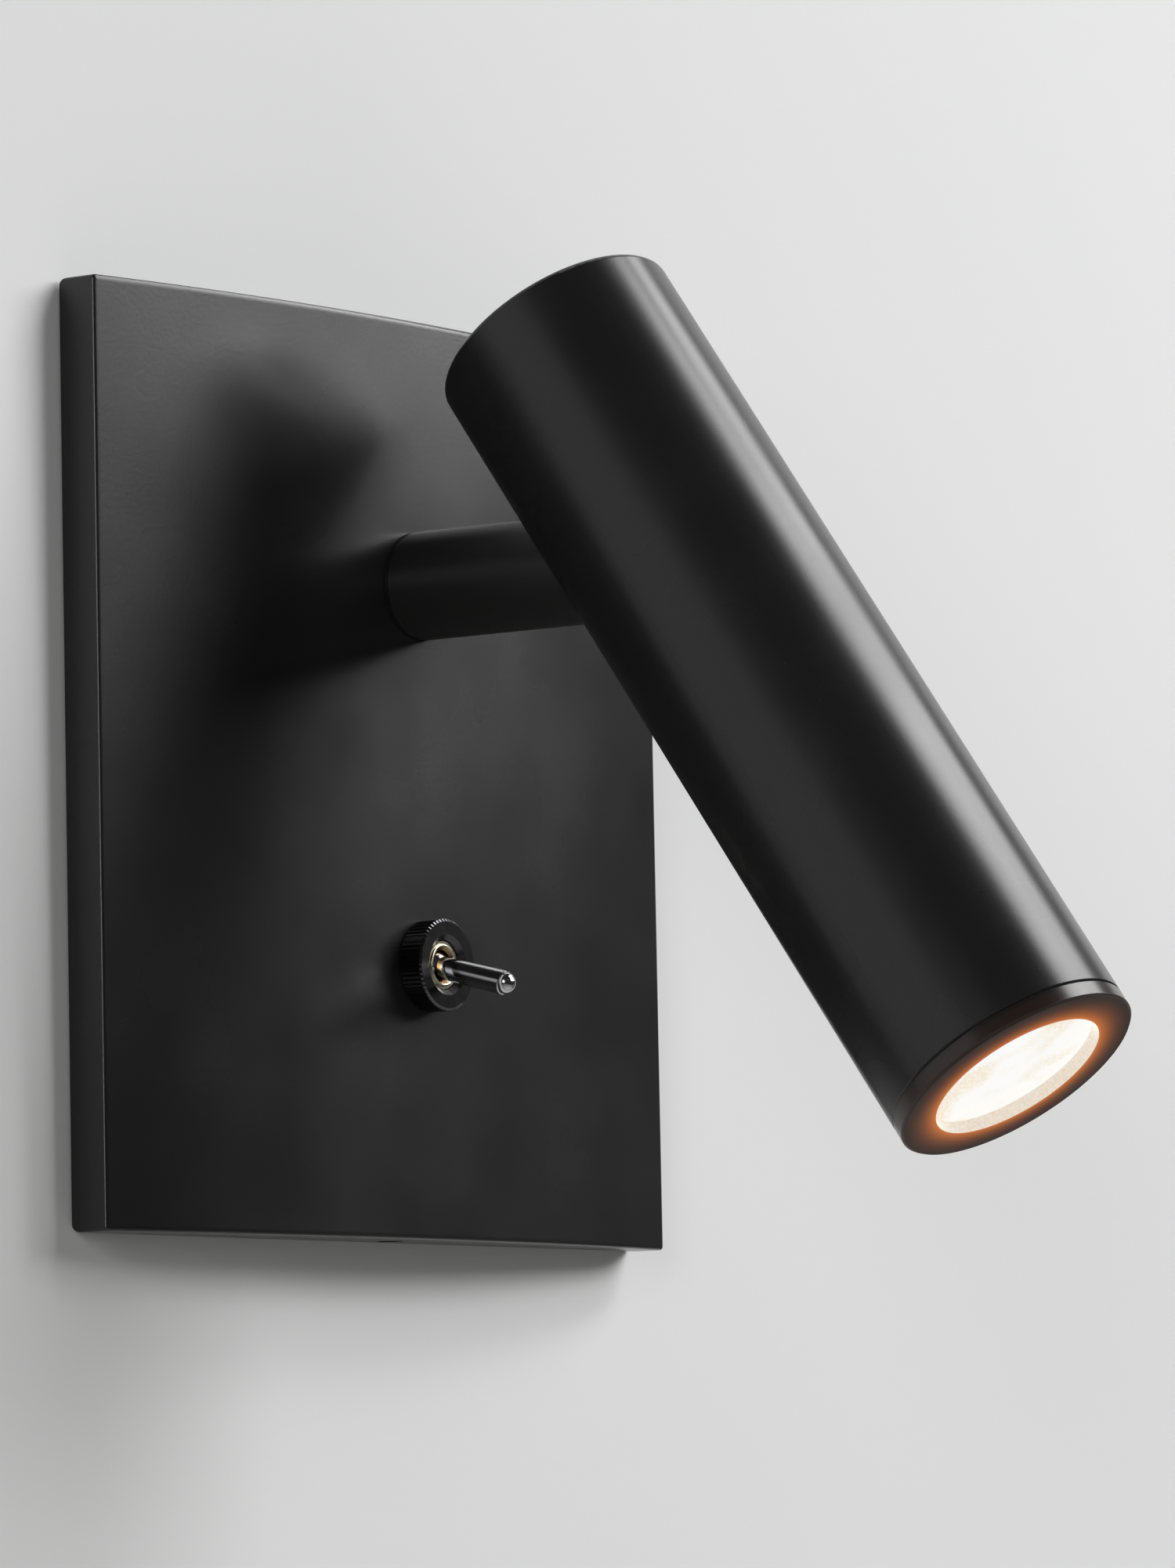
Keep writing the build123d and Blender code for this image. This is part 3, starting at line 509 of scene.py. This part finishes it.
def black_nickel_plate(name, deep, thin, roughness):
    """Black nickel over brass: a dark smoky metal, a little lighter in random patches where it is
    thin.
    """
    material, shader = finish_named(name, metallic=1.0)
    place = add(material, "TexCoord").outputs["Object"]
    plating = add(material, "TexNoise", {"Vector": place, "Scale": per_mm(1.5), "Detail": 2.0})
    tint = add(
        material,
        "Mix",
        {0: plating.outputs[0], 6: linear(deep), 7: linear(thin)},
        data_type="RGBA",
    )
    join(material, tint.outputs[2], shader.inputs["Base Color"])
    haze = add(
        material,
        "MapRange",
        {"Value": plating.outputs[0], 3: roughness, 4: roughness + 0.07},
    )
    join(material, haze.outputs[0], shader.inputs["Roughness"])
    return material


nut_finishes = [
    black_nickel_plate("black_nickel_plate", "#353434", "#3d3c3b", roughness=0.22),
    black_nickel_plate("rubbed_black_nickel", "#4f4f52", "#646568", roughness=0.13),
    black_nickel_plate("turned_black_nickel_mouth", "#49494c", "#545457", roughness=0.16),
]
plated, rubbed, mouth_turned = range(3)
nut_radius, nut_back, nut_face, nut_bore, countersink = 5.5, 10.0, 13.2, 3.02, 0.6
ridges, ridge_height, nut_chamfer, chamfer_depth = 56, 0.16, 0.32, 0.22
ridge_shape = (0.0, 0.3, 1.0, 0.3)
steps = ridges * len(ridge_shape)
switch_height = -22.5
crease_angle = 24


def ridge_radius(step):
    """Round crests and sharp roots, four points to a ridge."""
    return nut_radius - ridge_height * ridge_shape[step % len(ridge_shape)]


# each ring's depth, its radius, and the finish of the band from it to the next ring
nut_rings = [
    (nut_back, lambda k: nut_bore, plated),
    (nut_back, lambda k: nut_radius - nut_chamfer, plated),
    (nut_back + chamfer_depth, ridge_radius, plated),
    (nut_face - chamfer_depth, ridge_radius, rubbed),
    (nut_face, lambda k: nut_radius - nut_chamfer, plated),
    (nut_face, lambda k: nut_bore + countersink, mouth_turned),
    (nut_face - countersink, lambda k: nut_bore, plated),
]
mesh = bmesh.new()
rows = []
for depth, radius, finish in nut_rings:
    rows.append(
        [
            mesh.verts.new(
                (
                    radius(k) * math.cos(2 * math.pi * k / steps) / 1000,
                    -depth / 1000,
                    (switch_height + radius(k) * math.sin(2 * math.pi * k / steps)) / 1000,
                )
            )
            for k in range(steps)
        ]
    )
for row, following, (depth, radius, finish) in zip(rows, rows[1:] + rows[:1], nut_rings):
    for k in range(steps):
        ahead = (k + 1) % steps
        face = mesh.faces.new((row[k], row[ahead], following[ahead], following[k]))
        face.material_index = finish
bmesh.ops.recalc_face_normals(mesh, faces=mesh.faces)
for face in mesh.faces:
    face.smooth = True
for edge in mesh.edges:
    edge.smooth = edge.calc_face_angle(0) < math.radians(crease_angle)
knurled_nut = bpy.data.objects.new("knurled_nut", bpy.data.meshes.new("knurled_nut"))
mesh.to_mesh(knurled_nut.data)
mesh.free()
bpy.context.scene.collection.objects.link(knurled_nut)
for nut_finish in nut_finishes:
    knurled_nut.data.materials.append(nut_finish)
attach(knurled_nut, "base")
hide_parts("ring_nut")

# ---- Toggle lever ----
# Turned brass, polished and chromed, swelling a little towards its rounded tip. It is a mirror with
# faint finger marks.

chrome, shader = finish_named("polished_chrome", metallic=1.0)
place = add(chrome, "TexCoord").outputs["Object"]
smudge = add(chrome, "TexNoise", {"Vector": place, "Scale": per_mm(2.2), "Detail": 4.0})
tint = add(
    chrome,
    "Mix",
    {0: smudge.outputs[0], 6: linear("#bcbdc0"), 7: linear("#cdcdcf")},
    data_type="RGBA",
)
join(chrome, tint.outputs[2], shader.inputs["Base Color"])
haze = add(chrome, "MapRange", {"Value": smudge.outputs[0], 3: 0.08, 4: 0.16})
join(chrome, haze.outputs[0], shader.inputs["Roughness"])
coat(chrome, "toggle_lever")

# ---- Head: tube and rear cap ----
# Aluminium tube, slotted on the side that faces the wall, with a notched cap in its back end. Both
# are coated satin black; on the tube the peel is fine enough to look like a soft sheen.

head_coat = satin_powder_coat(
    "satin_powder_coat_on_head",
    peel_size=0.4,
    peel_height=0.004,
    roughness=0.27,
    ior=1.45,
)
coat(head_coat, "head_tube", "rear_cap")

# ---- Tilt joint ----
# A forked block of bare aluminium inside the tube, clamped on the arm's eye by one screw across it.
# Dished washers beside the eye's nylon bushes hold the tilt.


def turned_aluminium(name, colour, cut_size):
    """Bare turned aluminium: fine cutter rings that spread the highlight a little."""
    material, shader = finish_named(name, metallic=1.0)
    place = add(material, "TexCoord").outputs["Object"]
    cuts = add(material, "TexNoise", {"Vector": place, "Scale": per_mm(cut_size), "Detail": 4.0})
    tint = add(
        material,
        "Mix",
        {0: cuts.outputs[0], 6: linear("#a9abad"), 7: linear(colour)},
        data_type="RGBA",
    )
    join(material, tint.outputs[2], shader.inputs["Base Color"])
    haze = add(material, "MapRange", {"Value": cuts.outputs[0], 3: 0.25, 4: 0.42})
    join(material, haze.outputs[0], shader.inputs["Roughness"])
    bump = add(material, "Bump", {"Height": cuts.outputs[0], "Distance": 0.000006, "Strength": 1.0})
    join(material, bump.outputs[0], shader.inputs["Normal"])
    return material


block_aluminium = turned_aluminium("turned_bare_aluminium", "#c9cbcc", cut_size=0.3)
coat(block_aluminium, "pivot_block", "heat_sink")
coat(screw_zinc, "pivot_screw", "pivot_nut", "friction_washers", "core_screw", "board_screws")

# ---- LED, its board and the optic ----
# A white-masked metal-core board carries one LED under a yellow phosphor dome. A clear acrylic cup
# above it throws the beam forward, and a black holder centres the cup.

# The printed mask looks like a smooth white lacquer, a little uneven in tone and sheen.
board_mask, shader = finish_named("white_solder_mask", ior=1.5)
place = add(board_mask, "TexCoord").outputs["Object"]
flow = add(board_mask, "TexNoise", {"Vector": place, "Scale": per_mm(1.5), "Detail": 2.0})
tint = add(
    board_mask,
    "Mix",
    {0: flow.outputs[0], 6: linear("#dededa"), 7: linear("#ececea")},
    data_type="RGBA",
)
join(board_mask, tint.outputs[2], shader.inputs["Base Color"])
haze = add(board_mask, "MapRange", {"Value": flow.outputs[0], 3: 0.3, 4: 0.45})
join(board_mask, haze.outputs[0], shader.inputs["Roughness"])
coat(board_mask, "led_board")

# Phosphor grains in a cast silicone dome look a strong grainy yellow, and glow while the lamp is
# lit.
phosphor, shader = finish_named("phosphor_in_silicone", ior=1.41)
place = add(phosphor, "TexCoord").outputs["Object"]
grains = add(phosphor, "TexNoise", {"Vector": place, "Scale": per_mm(0.2), "Detail": 2.0})
tint = add(
    phosphor,
    "Mix",
    {0: grains.outputs[0], 6: linear("#d9a91e"), 7: linear("#f0c83c")},
    data_type="RGBA",
)
join(phosphor, tint.outputs[2], shader.inputs["Base Color"])
join(phosphor, tint.outputs[2], shader.inputs["Emission Color"])
shader.inputs["Emission Strength"].default_value = 4.0
coat(phosphor, "led")

# Clear acrylic from a polished mould is like glass to the eye, with slight ripples in its gloss.
acrylic, shader = finish_named("clear_acrylic", ior=1.49)
shader.inputs["Transmission Weight"].default_value = 1.0
place = add(acrylic, "TexCoord").outputs["Object"]
ripple = add(acrylic, "TexNoise", {"Vector": place, "Scale": per_mm(1.0), "Detail": 2.0})
haze = add(acrylic, "MapRange", {"Value": ripple.outputs[0], 3: 0.02, 4: 0.1})
join(acrylic, haze.outputs[0], shader.inputs["Roughness"])
coat(acrylic, "optic")
coat(black_nylon, "optic_holder")

# ---- Front lens ----
# Clear toughened glass with a fine prismatic back, a little way inside the front ring. Lit, it is
# near white all over, with faint mottling where the prisms show.

lit_glass, shader = finish_named("lit_prismatic_glass", ior=1.52, roughness=0.12)
place = add(lit_glass, "TexCoord").outputs["Object"]
prisms = add(lit_glass, "TexVoronoi", {"Vector": place, "Scale": per_mm(0.45)})
patches = add(lit_glass, "TexNoise", {"Vector": place, "Scale": per_mm(6.5), "Detail": 1.0})
patch = add(lit_glass, "MapRange", {"Value": patches.outputs[0], 1: 0.46, 2: 0.66, 3: 0.0, 4: 1.0})
shade = add(
    lit_glass,
    "Math",
    {0: prisms.outputs["Distance"], 1: patch.outputs[0]},
    operation="MULTIPLY",
)
dim = add(lit_glass, "MapRange", {"Value": shade.outputs[0], 1: 0.05, 2: 0.6, 3: 0.0, 4: 1.0})
glow = add(
    lit_glass,
    "Mix",
    {0: dim.outputs[0], 6: linear("#f4f3f1"), 7: linear("#ecdfc8")},
    data_type="RGBA",
)
join(lit_glass, glow.outputs[2], shader.inputs["Emission Color"])
shader.inputs["Base Color"].default_value = linear("#3a3833")
shader.inputs["Emission Strength"].default_value = 0.94
coat(lit_glass, "front_lens")

# ---- Front ring ----
# A turned aluminium ring screwed into the tube's mouth, coated with it. The lamp's light spilling
# over it is painted on as a glow: a creamy white glow on its inner edge, and an orange glow on the
# flat face close to the opening.

# in metres; lens_front, face_start and face_end are counted from the tilt pivot along the head's
# axis
pivot, tilt = Vector((0, -0.050, 0.023)), math.radians(55.5)
pointing = Vector((0, -math.cos(tilt), -math.sin(tilt)))
opening_radius, ring_radius, lens_front = 0.0106, 0.015, 0.0746
face_start, face_end, face_dullness = 0.0758, 0.0761, 0.42
# the last four set the painted glow: the depth of its creamy band at the opening, how fast its
# orange fades, and the strength of each
opening_skin, painted_spill_fall, painted_spill_strength, painted_cream_strength = 0.00002, 6.5, 0.78, 0.1

ring_coat, shader = finish_named("satin_powder_coat_with_painted_glow_on_ring", ior=1.45)
place = add(ring_coat, "TexCoord").outputs["Object"]
peel = add(ring_coat, "TexNoise", {"Vector": place, "Scale": per_mm(0.35), "Detail": 3.0})
cloud = add(ring_coat, "TexNoise", {"Vector": place, "Scale": per_mm(10), "Detail": 3.0})
pigment = add(
    ring_coat,
    "Mix",
    {0: cloud.outputs[0], 6: linear("#1c1c1c"), 7: linear("#232120")},
    data_type="RGBA",
)
join(ring_coat, pigment.outputs[2], shader.inputs["Base Color"])
bump = add(ring_coat, "Bump", {"Height": peel.outputs[0], "Distance": 0.000003, "Strength": 1.0})
join(ring_coat, bump.outputs[0], shader.inputs["Normal"])
# how far each point lies forward of the pivot, and out from the head's axis
from_pivot = add(ring_coat, "VectorMath", {0: place, 1: pivot}, operation="SUBTRACT")
forward = add(
    ring_coat,
    "VectorMath",
    {0: from_pivot.outputs[0], 1: pointing},
    operation="DOT_PRODUCT",
)
on_axis = add(ring_coat, "VectorMath", {0: pointing}, operation="SCALE")
join(ring_coat, forward.outputs["Value"], on_axis.inputs["Scale"])
from_axis = add(
    ring_coat,
    "VectorMath",
    {0: from_pivot.outputs[0], 1: on_axis.outputs[0]},
    operation="SUBTRACT",
)
radius = add(ring_coat, "VectorMath", {0: from_axis.outputs[0]}, operation="LENGTH")
# the flat face is left dull, the side has the tube's sheen
on_face = add(
    ring_coat,
    "MapRange",
    {"Value": forward.outputs["Value"], 1: face_start, 2: face_end, 3: 0.0, 4: face_dullness},
)
haze = add(ring_coat, "MapRange", {"Value": cloud.outputs[0], 1: 0.3, 2: 0.7, 3: 0.18, 4: 0.24})
sheen = add(ring_coat, "Math", {0: haze.outputs[0], 1: on_face.outputs[0]}, operation="ADD")
join(ring_coat, sheen.outputs[0], shader.inputs["Roughness"])
# painted glow: orange emission on the face in front of the lens, fading outward from the opening,
# and a creamy white band at the opening's edge
painted_spill_falloff = add(
    ring_coat,
    "MapRange",
    {"Value": radius.outputs["Value"], 1: opening_radius, 2: ring_radius, 3: 1.0, 4: 0.5},
)
painted_soft_spill = add(ring_coat, "Math", {0: painted_spill_falloff.outputs[0], 1: painted_spill_fall}, operation="POWER")
in_front = add(
    ring_coat,
    "Math",
    {0: forward.outputs["Value"], 1: lens_front},
    operation="GREATER_THAN",
)
painted_orange_glow = add(
    ring_coat,
    "Math",
    {0: painted_soft_spill.outputs[0], 1: in_front.outputs[0]},
    operation="MULTIPLY",
)
painted_edge_glow = add(
    ring_coat,
    "Math",
    {0: radius.outputs["Value"], 1: opening_radius + opening_skin},
    operation="LESS_THAN",
)
painted_cream_glow = add(
    ring_coat,
    "Math",
    {0: painted_edge_glow.outputs[0], 1: in_front.outputs[0]},
    operation="MULTIPLY",
)
grain = add(ring_coat, "MapRange", {"Value": peel.outputs[0], 1: 0.35, 2: 0.65, 3: 0.0, 4: 1.0})
painted_cream_colour = add(
    ring_coat,
    "Mix",
    {0: grain.outputs[0], 6: linear("#ecdcc6"), 7: linear("#f6ebdc")},
    data_type="RGBA",
)
painted_glow_colour = add(
    ring_coat,
    "Mix",
    {0: painted_cream_glow.outputs[0], 6: linear("#e07a2c"), 7: painted_cream_colour.outputs[2]},
    data_type="RGBA",
)
join(ring_coat, painted_glow_colour.outputs[2], shader.inputs["Emission Color"])
painted_spill_level = add(ring_coat, "MapRange", {"Value": painted_orange_glow.outputs[0], 3: 0.0, 4: painted_spill_strength})
painted_glow_strength = add(
    ring_coat,
    "Math",
    {0: painted_cream_glow.outputs[0], 1: painted_cream_strength, 2: painted_spill_level.outputs[0]},
    operation="MULTIPLY_ADD",
)
join(ring_coat, painted_glow_strength.outputs[0], shader.inputs["Emission Strength"])
coat(ring_coat, "front_ring")

# ---- Leads ----
# Stranded wire of 1 mm over its extruded silicone sleeve, one red and one black to each pair. The
# sleeve has a soft waxy sheen.

sleeve, shader = finish_named("silicone_wire_sleeve", ior=1.43)
place = add(sleeve, "TexCoord").outputs["Object"]
side = add(sleeve, "SeparateXYZ", {0: place})
right_side = add(sleeve, "Math", {0: side.outputs[0], 1: 0.0}, operation="GREATER_THAN")
wax = add(sleeve, "TexNoise", {"Vector": place, "Scale": per_mm(0.8), "Detail": 2.0})
red = add(
    sleeve,
    "Mix",
    {0: wax.outputs[0], 6: linear("#a3201b"), 7: linear("#b93129")},
    data_type="RGBA",
)
black = add(
    sleeve,
    "Mix",
    {0: wax.outputs[0], 6: linear("#1a1a1a"), 7: linear("#272727")},
    data_type="RGBA",
)
tint = add(
    sleeve,
    "Mix",
    {0: right_side.outputs[0], 6: black.outputs[2], 7: red.outputs[2]},
    data_type="RGBA",
)
join(sleeve, tint.outputs[2], shader.inputs["Base Color"])
haze = add(sleeve, "MapRange", {"Value": wax.outputs[0], 3: 0.35, 4: 0.55})
join(sleeve, haze.outputs[0], shader.inputs["Roughness"])
coat(sleeve, "supply_leads", "switched_lead", "arm_leads", "head_leads")

# ---- Room: wall and floor ----
# A smooth wall in matt pale grey paint, and a pale floor well below the lamp. The wall is one-sided
# and has an opening where the plate covers it, so that the lamp's back can be looked at and gets
# some light.


def stage_plane(name, corners, material, faces=((0, 1, 2, 3),)):
    """A flat piece of the room, which isn't part of the lamp."""
    mesh = bpy.data.meshes.new(name)
    mesh.from_pydata(corners, [], faces)
    plane = bpy.data.objects.new(name, mesh)
    mesh.materials.append(material)
    bpy.context.scene.collection.objects.link(plane)


wall_paint, shader = finish_named("matt_emulsion_wall", ior=1.45, roughness=0.85)
place = add(wall_paint, "TexCoord").outputs["Object"]
roller = add(wall_paint, "TexNoise", {"Vector": place, "Scale": per_mm(1.6), "Detail": 3.0})
patchy = add(wall_paint, "TexNoise", {"Vector": place, "Scale": per_mm(120), "Detail": 2.0})
tint = add(
    wall_paint,
    "Mix",
    {0: patchy.outputs[0], 6: linear("#e7e8e8"), 7: linear("#ebebeb")},
    data_type="RGBA",
)
join(wall_paint, tint.outputs[2], shader.inputs["Base Color"])
bump = add(wall_paint, "Bump", {"Height": roller.outputs[0], "Distance": 0.00001, "Strength": 1.0})
join(wall_paint, bump.outputs[0], shader.inputs["Normal"])
facing = add(wall_paint, "NewGeometry")
clear = add(wall_paint, "BsdfTransparent")
one_sided = add(
    wall_paint,
    "MixShader",
    {0: facing.outputs["Backfacing"], 1: shader.outputs[0], 2: clear.outputs[0]},
)
join(
    wall_paint,
    one_sided.outputs[0],
    wall_paint.node_tree.nodes["Material Output"].inputs["Surface"],
)
# in metres: the wall's face stands a hair behind the plate's back, and its opening inside the
# plate's outline
behind, opening, wall_half, wall_top, floor_half, floor_height = 0.0003, 0.053, 3, 1.7, 4, -1.6
wall_corners = [
    (-wall_half, behind, floor_height),
    (wall_half, behind, floor_height),
    (wall_half, behind, wall_top),
    (-wall_half, behind, wall_top),
]
opening_corners = [
    (-opening, behind, -opening),
    (opening, behind, -opening),
    (opening, behind, opening),
    (-opening, behind, opening),
]
stage_plane(
    "wall",
    wall_corners + opening_corners,
    wall_paint,
    [(k, (k + 1) % 4, 4 + (k + 1) % 4, 4 + k) for k in range(4)],
)

# The floor is sealed screed: pale, dull and faintly clouded by the trowel.
floor_paint, shader = finish_named("pale_floor", ior=1.45, roughness=0.6)
place = add(floor_paint, "TexCoord").outputs["Object"]
trowel = add(floor_paint, "TexNoise", {"Vector": place, "Scale": per_mm(300), "Detail": 3.0})
tint = add(
    floor_paint,
    "Mix",
    {0: trowel.outputs[0], 6: linear("#cfcecb"), 7: linear("#d8d7d4")},
    data_type="RGBA",
)
join(floor_paint, tint.outputs[2], shader.inputs["Base Color"])
stage_plane(
    "floor",
    [
        (-floor_half, -floor_half, floor_height),
        (floor_half, -floor_half, floor_height),
        (floor_half, floor_half, floor_height),
        (-floor_half, floor_half, floor_height),
    ],
    floor_paint,
)

# ---- Studio light ----
# A large key softbox and three smaller ones stand to the right, from low to high, and rake along
# the wall: they draw the streaks on the tube. A weak fill stands to the left, and the studio round
# them is dim.

light_distance, lamp_middle = 2.0, Vector((0, -0.03, 0))


def soft_light(name, bearing, height_angle, width, height, power):
    """A rectangular softbox aimed at the lamp, at a bearing from straight in front, positive to the
    right."""
    toward = Vector(
        (
            math.sin(math.radians(bearing)) * math.cos(math.radians(height_angle)),
            -math.cos(math.radians(bearing)) * math.cos(math.radians(height_angle)),
            math.sin(math.radians(height_angle)),
        )
    )
    lamp = bpy.data.lights.new(name, "AREA")
    lamp.shape = "RECTANGLE"
    lamp.size, lamp.size_y = width, height
    lamp.energy = power
    light = bpy.data.objects.new(name, lamp)
    light.rotation_mode = "QUATERNION"
    light.rotation_quaternion = toward.to_track_quat("Z", "Y")
    light.location = lamp_middle + toward * light_distance
    bpy.context.scene.collection.objects.link(light)


soft_light("key_softbox", bearing=42, height_angle=23.5, width=1.3, height=0.7, power=25.5)
soft_light("low_softbox", bearing=61, height_angle=17, width=0.5, height=0.4, power=3.0)
soft_light("high_softbox_right", bearing=66, height_angle=42, width=0.7, height=0.45, power=7.2)
soft_light("high_softbox_front", bearing=41, height_angle=49, width=0.7, height=0.45, power=10.5)
soft_light("left_fill", bearing=-65, height_angle=10, width=0.5, height=0.8, power=9.5)

studio = bpy.data.worlds.new("studio")
bpy.context.scene.world = studio
studio.use_nodes = True
background = studio.node_tree.nodes["Background"]
ray = add(studio, "LightPath")
# the room is dark on the camera's side of the wall, so that the black coats reflect little, and
# pale behind it
toward = add(studio, "TexCoord").outputs["Generated"]
depth = add(studio, "SeparateXYZ", {0: toward})
side = add(studio, "MapRange", {"Value": depth.outputs[1], 1: -0.05, 2: 0.05, 3: 0.0, 4: 1.0})
room = add(
    studio,
    "Mix",
    {0: side.outputs[0], 6: linear("#303030"), 7: linear("#c4c4c4")},
    data_type="RGBA",
)
seen = add(
    studio,
    "Mix",
    {0: ray.outputs["Is Camera Ray"], 6: room.outputs[2], 7: linear("#dcdcdc")},
    data_type="RGBA",
)
join(studio, seen.outputs[2], background.inputs["Color"])
background.inputs["Strength"].default_value = 1.0
